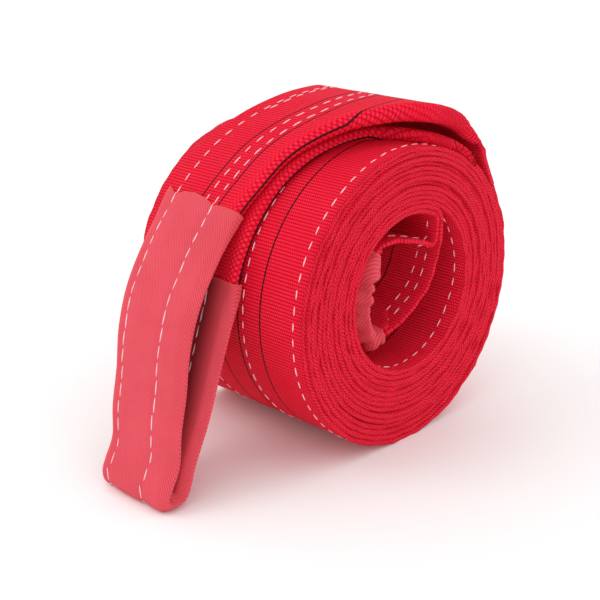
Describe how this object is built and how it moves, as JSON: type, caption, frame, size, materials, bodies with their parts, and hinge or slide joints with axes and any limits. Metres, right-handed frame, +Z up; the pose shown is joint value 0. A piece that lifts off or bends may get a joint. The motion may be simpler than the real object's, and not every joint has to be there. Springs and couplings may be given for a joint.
{
  "type": "web sling",
  "caption": "Wide flat web lifting sling, two plies thick, with a sleeved soft eye at each end, rolled up and standing on its round side with one eye hanging free in front.",
  "frame": {"origin": "middle of the bounding box on the floor under the rolled sling", "axes": "+X along the axis of the roll, towards the end shown in the picture; -Y to the side where the free eye hangs; +Z up"},
  "size_m": [0.1503, 0.2872, 0.2223],
  "materials": {
    "webbing": "ribbed woven polyester, slightly shiny",
    "sleeve": "fine twill, matte",
    "white_thread": "sewing thread, matte",
    "black_thread": "woven marker line, matte",
    "cut_edge": "melted cut edge of the sleeve"
  },
  "bodies": {
    "root": {"webbing_roll": "webbing", "webbing_free_eye": "webbing", "webbing_inner_eye": "webbing", "outer_eye_sleeve": "sleeve", "inner_eye_sleeve": "sleeve"}
  },
  "joints": []
}
